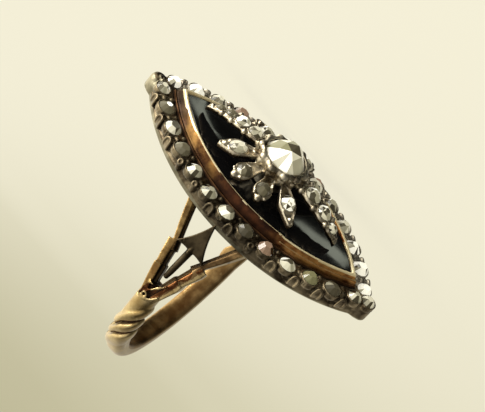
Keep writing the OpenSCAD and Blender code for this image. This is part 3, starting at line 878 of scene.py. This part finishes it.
def band_rings():
    """Sections of the band from fork to fork round the back."""
    first, last = -180 - BAND_END_A - 4, BAND_END_A + 4
    return [band_ring(first + (last - first) * k / BAND_STEPS) for k in range(BAND_STEPS + 1)]


def arm_parts():
    """Both ends of each length of an arm, like its stations; a leaf starts slim, before its own station."""
    parts = []
    for k, (first, last) in enumerate(zip(ARM_STATIONS, ARM_STATIONS[1:])):
        if k:
            first = [p + (q - p) * LEAF_START for p, q in zip(ARM_STATIONS[k - 1], first)]
            first[3:] = [LEAF_SLIM * size for size in first[3:]]
        parts.append((first, last))
    return parts


ARM_PARTS = arm_parts()


def arm_axes(point, along, side):
    """Directions across an arm, away from the hoop's middle, and outwards."""
    out = outwards(point)
    across = along.cross(out).normalized()
    return -across if across.y * side < 0 else across, out


def arm_size(first, last, t):
    """Width and thickness of an arm's length, a share of the way along it."""
    return [a * (1 - t) + b * t for a, b in zip(first[3:], last[3:])]


def strap_section(point, along, side, width, thick, step, flare):
    """Section of an arm: a bright outer strap, flared outwards, with a recessed front beside it."""
    across, out = arm_axes(point, along, side)
    w, t = width / 2, thick / 2
    low = t - step
    corners = [(-w, -t), (w + flare, -t), (w + flare, t), (-0.25 * w, t), (-0.35 * w, low), (-w, low)]
    return [point + across * u + out * v for u, v in corners]


def arm(s, side):
    for k, (first, last) in enumerate(ARM_PARTS):
        p = on_hoop(first[0], side * first[1], first[2])
        q = on_hoop(last[0], side * last[1], last[2])
        along = (q - p).normalized()
        is_leaf = k < ARM_LEAVES
        rings = []
        for i in range(ARM_STEPS + 1):
            t = i / ARM_STEPS
            width, thick = arm_size(first, last, t)
            middle = p + (q - p) * t
            step, flare = 0.16, 0
            if is_leaf:
                middle += outwards(middle) * LEAF_BOW * math.sin(math.pi * t)
                step = 0.22
                if side > 0:
                    flare = LEAF_FLARE * (0.4 + 0.6 * t) * min(1.0, 9 - 8.5 * t)
            else:
                width *= 1 - ARM_NECK * (1 - t) ** 2
                middle.y -= side * ARM_SHIFT * (1 - t) ** 2
            rings.append(strap_section(middle, along, side, width, thick, step, flare))
        if is_leaf:
            rings.append([c + along * (LEAF_TIP if i in (1, 2) else 0.05) for i, c in enumerate(rings[-1])])
        s.loft(rings)


def shank_shape():
    s = Shape()
    for side in (1, -1):
        arm(s, side)
    # The lip of the hollow under the fork, a curl in the hollow, and two creases above it
    lip_a = MOUTH_A - MOUTH_W + 0.4
    s.wire([on_hoop(lip_a + MOUTH_SLANT * y + 5 * abs(y) ** 3, y, HOOP_R + 0.72 - 0.16 * abs(y))
            for y in [(i - 4) / 5 for i in range(9)]], 0.1, up=(1, 0, 0))
    s.hoop(0.2, 0.09, at(on_hoop(11.2, -0.24, HOOP_R + 0.66)) @ turned(80, "Y"))
    for y, angle in ((0.05, 13.5), (0.35, 15.5)):
        s.wire([on_hoop(angle, y - 0.3, HOOP_R + 0.5), on_hoop(angle + 2.4, y, HOOP_R + 0.62),
                on_hoop(angle + 6, y + 0.36, HOOP_R + 0.58)], 0.09, up=(1, 0, 0))
    s.mirrored(MIRROR_X)
    s.loft(band_rings())
    return s


def arm_tone(number, u, v, w, h, middle):
    """Gold of a face of an arm: number of its length, place and half size across and outwards."""
    is_leaf = number < ARM_LEAVES
    if u < (-0.3 if is_leaf else -0.6) * w and v > -0.6 * h:
        return "arm_shade"
    # Painted shade: the arm towards +Y is painted darker than the one towards -Y, in stripes of red-brown and
    # brown, with plain gold only at its outer edge
    if middle.y < 0:
        return "arm_gold"
    mottled = u + 0.25 * noise.noise(middle * 1.3)
    if is_leaf and mottled < 0.1 * w:
        return "red_gold"
    if is_leaf and mottled < 0.5 * w:
        return "hollow_brown"
    return "gold" if u > 0.75 * w else "shaded_arm_brown"


def shank_part(middle, normal):
    """The shank's gold: dark in its hollows and grooves, dull inside, and by place on its arms, with painted
    shade on their recessed fronts and on the arm towards +Y.
    """
    p = Vector((abs(middle.x), abs(middle.y), middle.z))
    angle = math.degrees(math.atan2(p.z - HOOP_Z, p.x))
    standing = math.hypot(p.x, p.z - HOOP_Z) - HOOP_R
    if standing > -0.3 and mouth(angle, middle.y) > 0.25:
        return "hollow_brown" if standing < 0.62 else "gold"
    nearest, found = ARM_SKIN, None
    for number, (first, last) in enumerate(ARM_PARTS):
        a, b = on_hoop(*first[:3]), on_hoop(*last[:3])
        t = (p - a).dot(b - a) / (b - a).length_squared
        if not -0.03 < t < 1.03:
            continue
        across, out = arm_axes(p, (b - a).normalized(), 1)
        off = p - (a + (b - a) * t)
        u, v = off.dot(across), off.dot(out)
        w, h = (size / 2 for size in arm_size(first, last, t))
        away = abs(max(abs(u) - w, abs(v) - h))
        if away < nearest or u < 0 and away < ARM_INNER_SKIN:
            nearest = away
            found = arm_tone(number, u, v, w, h, middle)
    if found:
        return found
    if standing < 0.3 - BAND_T / 2:
        return "inner_gold"
    groove = min(abs(below_edge(edge, angle, middle.y)) for edge, depth in BAND_EDGES)
    return "hollow_brown" if groove < 0.75 else "gold"


def trim_shank(mesh):
    """Opens the hoop's inner wall to the finger hole, leans the hoop, and levels its arms under the head."""
    for v in mesh.vertices:
        p = v.co.copy()
        away = math.hypot(p.x, p.z - HOOP_Z)
        if away < FINGER_R:
            p.x *= FINGER_R / away
            p.z = HOOP_Z + (p.z - HOOP_Z) * FINGER_R / away
        p = HOOPED @ p
        p.z = min(p.z, HEAD_BACK_Z)
        v.co = p


def star_outline(steps=12):
    """Four points joined by curves that draw in between them."""
    outline = []
    for a, b in zip(STAR_POINTS, STAR_POINTS[1:] + STAR_POINTS[:1]):
        a, b = Vector(a), Vector(b)
        middle = (a + b) / 2 * (1 - STAR_HOLLOW)
        for k in range(steps):
            t = k / steps
            outline.append(a * (1 - t) ** 2 + middle * 2 * t * (1 - t) + b * t ** 2)
    return outline


def star_shape():
    """The star plate of one shoulder, and the rod from it down to the fork."""
    s = Shape()
    mid = on_hoop(STAR_MID_A, 0, STAR_R)
    top = Vector(((FINGER_R + GAP) / math.tan(math.radians(STAR_TOP_A)), 0, HEAD_BACK_Z))
    tilt = math.degrees(math.atan2(mid.x - top.x, top.z - mid.z))
    outline = star_outline()

    def ring(shrink, z):
        return [(p.x * (1 - shrink / 3), p.y * (1 - shrink / 2), z) if p.length > 0.9
                else (p.x * (1 - shrink), p.y * (1 - shrink), z) for p in outline]

    h = STAR_T / 2
    s.loft([ring(0.1, -h), ring(0, -h + 0.08), ring(0, h - 0.12), ring(0.14, h), ring(0.3, h + 0.02)],
           at(mid) @ turned(-tilt, "Y") @ turned(-90, "Y"))
    low = on_hoop(ROD_END_A, 0, ROD_END_R)
    lean = math.degrees(math.atan2(mid.x - low.x, mid.z - low.z))
    reach = (mid - low).length
    s.lathe([(0.12, 0), (0.22, 0.1), (ROD_R, 0.8), (ROD_R + 0.03, reach - 0.5), (0.22, reach - 0.1),
             (0.05, reach + 0.15)], at(low) @ turned(lean, "Y"), 20)
    s.bead(low + (mid - low) * 0.78 + Vector((0.12, 0, 0.12)), 0.24)
    return s


# Materials

class Nodes:
    """A node tree, with short calls for its nodes; an input is a value or another node's output."""

    def __init__(self, tree):
        self.tree = tree

    def feed(self, node, inputs):
        for key, value in inputs.items():
            if isinstance(value, bpy.types.NodeSocket):
                self.tree.links.new(value, node.inputs[key])
            else:
                node.inputs[key].default_value = value

    def new(self, kind, output, inputs=None, **values):
        """Adds a node and returns one of its outputs, where it has any."""
        node = self.tree.nodes.new("ShaderNode" + kind)
        for key, value in values.items():
            setattr(node, key, value)
        self.feed(node, inputs or {})
        return node.outputs[output] if node.outputs else None

    def set(self, **inputs):
        shader = self.tree.nodes["Principled BSDF"]
        self.feed(shader, {key.replace("_", " "): value for key, value in inputs.items()})

    def place(self):
        return self.new("TexCoord", "Object")

    def noise(self, scale, detail=3.0):
        inputs = {"Scale": scale, "Detail": detail, "Roughness": 0.55, "Vector": self.place()}
        return self.new("TexNoise", "Fac", inputs)

    def ramp(self, value, low, high, out_low=0.0, out_high=1.0):
        inputs = {"Value": value, "From Min": low, "From Max": high, "To Min": out_low, "To Max": out_high}
        return self.new("MapRange", "Result", inputs, interpolation_type="SMOOTHSTEP")

    def math(self, operation, a, b):
        return self.new("Math", "Value", {0: a, 1: b}, operation=operation)

    def dot(self, value, direction):
        return self.new("VectorMath", "Value", {0: value, 1: direction}, operation="DOT_PRODUCT")

    def mix(self, factor, *colours):
        a, b = ((*colour, 1) if isinstance(colour, tuple) else colour for colour in colours)
        return self.new("Mix", 2, {"Factor": factor, 6: a, 7: b}, data_type="RGBA")

    def shelter(self, distance):
        """How open a point is: 1 on a free surface, falling to 0 in a corner."""
        return self.new("AmbientOcclusion", "AO", {"Distance": distance}, samples=8)

    def bump(self, height, strength, distance):
        inputs = {"Height": height, "Strength": strength, "Distance": distance}
        self.set(Normal=self.new("Bump", "Normal", inputs))

    def along_head(self, scale, shift):
        """Distance along the head, made ragged by a noise."""
        along = self.new("SeparateXYZ", "X", {0: self.place()})
        return self.math("ADD", along, self.math("MULTIPLY", self.noise(scale), shift))


def new_material(name):
    MATERIALS[name] = bpy.data.materials.new(name)
    MATERIALS[name].use_nodes = True
    return Nodes(MATERIALS[name].node_tree)


def darker_middle(m):
    """How much of its brightness the border keeps, from one end of the head to the other."""
    along = m.along_head(400, 0.002)
    one_end, other_end = m.ramp(along, 0.004, 0.0095, 0.36, 0.66), m.ramp(along, -0.002, -0.008, 0.36, 1.1)
    return m.math("MAXIMUM", one_end, other_end)


def old_metal(name, clean, bright, dirt, rough=(0.3, 0.5), shelter=0.0006, open_at=(0.3, 0.75), dent=0.4,
              kept=None, metal=1.0):
    """Worn metal: tarnish in patches, dirt in its corners, a brighter polish on its edges."""
    m = new_material(name)
    cloud, fine = m.noise(700, 4), m.noise(4200)
    edge = m.ramp(m.new("NewGeometry", "Pointiness"), 0.5, 0.56)
    colour = m.mix(m.ramp(cloud, 0.35, 0.68), clean, bright)
    colour = m.mix(m.math("MULTIPLY", edge, 0.6), colour, bright)
    openness = m.ramp(m.shelter(shelter), *open_at)
    spotted = m.math("MULTIPLY", openness, m.ramp(fine, 0.18, 0.42, 0.55, 1.0))
    colour = m.mix(spotted, dirt, colour)
    if kept:
        colour = m.mix(kept(m), (0, 0, 0), colour)
    m.set(Base_Color=colour, Metallic=m.ramp(spotted, 0.0, 1.0, 0.45 * metal, metal))
    m.set(Roughness=m.math("ADD", m.ramp(spotted, 0.0, 1.0, 0.3, 0.0), m.ramp(cloud, 0.3, 0.7, *rough)))
    m.bump(m.math("ADD", m.math("MULTIPLY", cloud, 1.4), fine), dent, 0.00003)


def collar_slope():
    """Gold, darker at its foot as painted shade: nearly black in the middle of the head, golden and then
    brown towards one end, and orange towards the other end."""
    m = new_material("collar_slope")
    along = m.along_head(500, 0.003)
    cloud = m.noise(900, 4)
    streak = m.ramp(cloud, 0.35, 0.7)
    orange = m.mix(streak, (0.24, 0.085, 0.026), (0.7, 0.36, 0.12))
    dull = m.mix(streak, (0.02, 0.008, 0.005), (0.1, 0.035, 0.014))
    golden = m.mix(streak, (0.06, 0.024, 0.008), (0.33, 0.18, 0.055))
    brown = m.mix(streak, (0.02, 0.011, 0.006), (0.075, 0.045, 0.022))
    colour = m.mix(m.ramp(along, 0.003, 0.0062), dull, golden)
    colour = m.mix(m.ramp(along, 0.0084, 0.01), colour, brown)
    colour = m.mix(m.ramp(along, -0.001, -0.0045), colour, orange)
    # Painted shade: the slope darkens towards its foot, beside the border
    face = (TURN_TO_ROW @ UP).normalized()
    foot = face.dot(Vector(REST_PLACE)) * 0.001
    height = m.math("ADD", m.dot(m.place(), face), m.math("MULTIPLY", m.noise(1500, 2), 0.0002))
    colour = m.mix(m.ramp(height, foot + 0.0003, foot + 0.00068, 0.35, 1.0), (0.01, 0.004, 0.002), colour)
    m.set(Base_Color=colour, Metallic=0.9, Roughness=m.ramp(cloud, 0.3, 0.7, 0.25, 0.42))
    m.bump(m.noise(2600, 3), 0.45, 0.00004)


def black_stone():
    m = new_material("black_stone")
    smear = m.ramp(m.noise(500, 4), 0.3, 0.7, 0.035, 0.09)
    m.set(Base_Color=(0.004, 0.004, 0.0045, 1), IOR=1.5, Roughness=smear)


def facets(name, colour, clear, rough=0.03, ior=2.42, painted_glow=0.0):
    """Facets of a rose-cut diamond that look alike: their tint, how clear they are, how much they glint, and
    a painted glow that stands for the light returned from inside the stone."""
    m = new_material(name)
    m.set(Base_Color=(*colour, 1), IOR=ior, Transmission_Weight=clear)
    # Painted light: the facets glow though they are no lamp
    m.set(Emission_Color=(*colour, 1), Emission_Strength=painted_glow)
    m.set(Roughness=m.ramp(m.noise(900, 2), 0.3, 0.7, rough, rough + 0.05))


def foil():
    m = new_material(FOIL)
    streak = m.ramp(m.noise(1800, 3), 0.35, 0.65)
    m.set(Metallic=0.85, Roughness=0.3, Base_Color=m.mix(streak, (0.2, 0.19, 0.16), (0.8, 0.78, 0.7)))


def make_materials():
    """Metals have a clean, a polished and a dirty colour; facets a tint, clearness, roughness, bending of
    light and a painted glow."""
    old_metal("silver", (0.075, 0.053, 0.032), (0.42, 0.34, 0.22), (0.015, 0.009, 0.004), (0.26, 0.45),
              0.0009, (0.35, 0.85), dent=0.7, kept=darker_middle)
    # The far side's paler silver is painted light
    old_metal("painted_lit_silver", (0.38, 0.33, 0.26), (0.75, 0.69, 0.58), (0.14, 0.11, 0.08), dent=0.6)
    old_metal("foot_silver", (0.2, 0.18, 0.12), (0.55, 0.5, 0.36), (0.04, 0.03, 0.02), kept=darker_middle)
    old_metal("flower_silver", (0.2, 0.155, 0.1), (0.82, 0.74, 0.58), (0.03, 0.018, 0.01), (0.25, 0.45),
              open_at=(0.25, 0.68))
    old_metal("flower_shade", (0.03, 0.02, 0.012), (0.14, 0.105, 0.07), (0.01, 0.006, 0.004))
    old_metal("star_silver", (0.016, 0.012, 0.007), (0.07, 0.053, 0.031), (0.008, 0.005, 0.003))
    old_metal("gold", (0.27, 0.185, 0.075), (0.48, 0.375, 0.2), (0.06, 0.018, 0.006), (0.28, 0.42),
              open_at=(0.25, 0.8))
    old_metal("arm_gold", (0.18, 0.1, 0.035), (0.5, 0.34, 0.14), (0.04, 0.014, 0.005), (0.28, 0.42),
              open_at=(0.25, 0.8))
    old_metal("shaded_arm_brown", (0.07, 0.04, 0.018), (0.22, 0.14, 0.065), (0.02, 0.01, 0.005), (0.3, 0.45))
    old_metal("inner_gold", (0.22, 0.13, 0.05), (0.4, 0.27, 0.12), (0.05, 0.02, 0.008), (0.35, 0.5))
    old_metal("arm_shade", (0.022, 0.015, 0.008), (0.07, 0.045, 0.022), (0.01, 0.007, 0.004), (0.35, 0.5))
    old_metal("hollow_brown", (0.04, 0.014, 0.006), (0.12, 0.05, 0.018), (0.012, 0.006, 0.004), (0.35, 0.5))
    old_metal("red_gold", (0.14, 0.045, 0.016), (0.36, 0.16, 0.06), (0.03, 0.01, 0.005), (0.3, 0.45))
    # The collar's bright edge is a painted highlight
    old_metal("collar_edge_highlight", (0.6, 0.47, 0.26), (0.9, 0.8, 0.56), (0.24, 0.11, 0.04), (0.15, 0.3),
              open_at=(0, 0.3), metal=0.5)
    old_metal("collar_foot", (0.07, 0.03, 0.014), (0.2, 0.1, 0.045), (0.015, 0.007, 0.004))
    # The ledge's pale line is a painted highlight
    old_metal("collar_ledge", (0.3, 0.2, 0.09), (0.62, 0.46, 0.24), (0.12, 0.05, 0.02), (0.25, 0.4),
              metal=0.7)
    collar_slope()
    black_stone()
    facets(DEEP, (0.6, 0.6, 0.5), 1.0)
    facets(PAINTED_WHITE, (1.0, 0.99, 0.94), 0.0, 0.1, 1.9, 0.28)
    facets(PALE, (0.86, 0.83, 0.7), 0.3, 0.12, 1.7, 0.13)
    facets(GREY, (0.5, 0.48, 0.38), 0.3, 0.12, 1.6, 0.05)
    facets(SMOKE, (0.2, 0.18, 0.125), 0.4, 0.05, 1.42, 0.03)
    facets(ROSE, (0.36, 0.24, 0.18), 0.3, 0.05, 1.6, 0.04)
    facets(OLIVE, (0.3, 0.29, 0.16), 0.4, 0.05, 1.6, 0.05)
    facets(DARK, (0.075, 0.066, 0.046), 0.1, 0.08, 1.38)
    facets(PAINTED_GLINT, (1.0, 1.0, 0.97), 0.0, 0.1, 1.9, 0.55)
    foil()


# The stage

def camera():
    data = bpy.data.cameras.new("camera")
    data.lens = LENS_MM
    data.sensor_width = SENSOR_MM
    data.sensor_fit = "HORIZONTAL"
    data.clip_start, data.clip_end = 0.001, 20
    axes = Matrix((CAMERA_RIGHT, CAMERA_UP, CAMERA_BACK)).transposed().to_4x4()
    place = AT_REST @ at(CAMERA_PLACE) @ axes
    place.translation = place.translation * 0.001
    thing = added("camera", data)
    thing.matrix_world = place
    bpy.context.scene.camera = thing


def hide_from(thing, *rays):
    for ray in rays:
        setattr(thing, "visible_" + ray, False)


def floor():
    m = new_material("pale_floor")
    m.set(Base_Color=(*(FLOOR_DIFFUSE * c for c in FLOOR_PALE), 1), Roughness=1.0, Specular_IOR_Level=0.0)
    away = m.new("VectorMath", "Value", {0: m.place()}, operation="LENGTH")
    # The floor's glow is painted light, darkened by painted shade on one side and up the far end of the sweep
    glow = m.mix(m.ramp(m.dot(m.place(), SIDE_WAY), *SIDE_FADE), FLOOR_PALE, FLOOR_DIM)
    glow = m.mix(m.ramp(away, *SWEEP_FADE), glow, SWEEP_FAR)
    m.set(Emission_Color=glow, Emission_Strength=FLOOR_GLOW)
    s = Shape()
    s.lathe([(r, z - FLOOR_SINK) for r, z in SWEEP], sides=96)
    mesh = painted(s.mesh("floor", SWEEP_OPEN_Z), lambda middle, normal: "pale_floor")
    mesh.shade_smooth()
    thing = added("floor", mesh)
    hide_from(thing, "shadow", "glossy", "transmission")


def in_row(direction):
    """A direction given as right, up and towards the camera, turned into the row frame."""
    ring = CAMERA_RIGHT * direction[0] + CAMERA_UP * direction[1] + CAMERA_BACK * direction[2]
    return (TURN_TO_ROW @ ring).normalized()


def area_light(name, direction, distance, size, power):
    data = bpy.data.lights.new(name, "AREA")
    data.shape = "RECTANGLE"
    data.size = data.size_y = size
    data.energy = power
    data.color = LIGHT_COLOUR
    away = in_row(direction)
    thing = added(name, data)
    thing.location = RING_MIDDLE + away * distance
    thing.rotation_euler = away.to_track_quat("Z", "Y").to_euler()


def shine_card(name, outline):
    """A bright card that the plaque mirrors to the camera as a patch of the given outline on it."""
    eye = AT_REST @ CAMERA_PLACE
    corners = []
    for x, y in outline:
        point = AT_REST @ Vector((x, y, PLAQUE_TOP_Z - x * x / (2 * PLAQUE_DOME_R)))
        up = (TURN_TO_ROW @ Vector((x / PLAQUE_DOME_R, 0, 1))).normalized()
        way = (point - eye).normalized()
        corners.append((point + way.reflect(up) * CARD_AWAY) * 0.001)
    new_material(name).set(Base_Color=(0, 0, 0, 1), Emission_Color=CARD_COLOUR, Emission_Strength=CARD_LIGHT)
    mesh = bpy.data.meshes.new(name)
    mesh.from_pydata([tuple(c) for c in corners], [], [list(range(len(corners)))])
    thing = added(name, painted(mesh, lambda middle, normal: name))
    hide_from(thing, "camera", "diffuse", "transmission", "shadow", "volume_scatter")


def world():
    studio = bpy.data.worlds.new("studio")
    studio.use_nodes = True
    studio.node_tree.nodes.clear()
    bpy.context.scene.world = studio
    m = Nodes(studio.node_tree)
    way = m.new("TexCoord", "Generated")
    sky, wall, lit = (m.ramp(m.dot(way, in_row(toward)), *fade) for toward, *fade in ROOM_PARTS)
    strength = m.math("MULTIPLY", m.math("ADD", sky, lit), wall)
    room = m.new("Background", "Background", {"Color": ROOM_COLOUR, "Strength": strength})
    seen = m.new("Background", "Background", {"Color": SEEN_COLOUR})
    by_camera = m.new("LightPath", "Is Camera Ray")
    both = m.new("MixShader", "Shader", {"Fac": by_camera, 1: room, 2: seen})
    m.new("OutputWorld", None, {"Surface": both})


# The pieces

def make_head():
    border = fused(border_shape(random.Random(3)), "border_silver", *BORDER_SKIN)
    piece("border_silver", painted(border, border_part), ["border"], 60)
    collar = collar_shape().mesh("collar_gold")
    piece("collar_gold", painted(collar, collar_part), ["collar"], 40)
    plaque = painted(plaque_shape().mesh("black_plaque"), lambda middle, normal: "black_stone")
    piece("black_plaque", plaque, ["plaque"], 40)
    flower = fused(flower_shape(random.Random(5)), "silver_flower", *FLOWER_SKIN)
    piece("silver_flower", painted(flower, flower_part), ["flower"], 60)


def make_hoop():
    shank = painted(fused(shank_shape(), "gold_shank", *SHANK_SKIN), shank_part)
    trim_shank(shank)
    piece("gold_shank", shank, ["shank"], 50)
    for end, turn in (("near", Matrix()), ("far", MIRROR_X)):
        star = painted(fused(star_shape(), f"star_{end}", *STAR_SKIN), lambda middle, normal: "star_silver")
        star.transform(HOOPED @ turn)
        if end == "far":
            star.flip_normals()
        piece(f"star_{end}", star, [f"shoulder_star_{end}"], 50)


camera()
floor()
world()
for name, outline in SHINE.items():
    shine_card(name, outline)
for name, light in LIGHTS.items():
    area_light(name, *light)
make_materials()
make_head()
make_hoop()
make_stones()
centre_stone()

bpy.context.scene.view_settings.view_transform = "Standard"
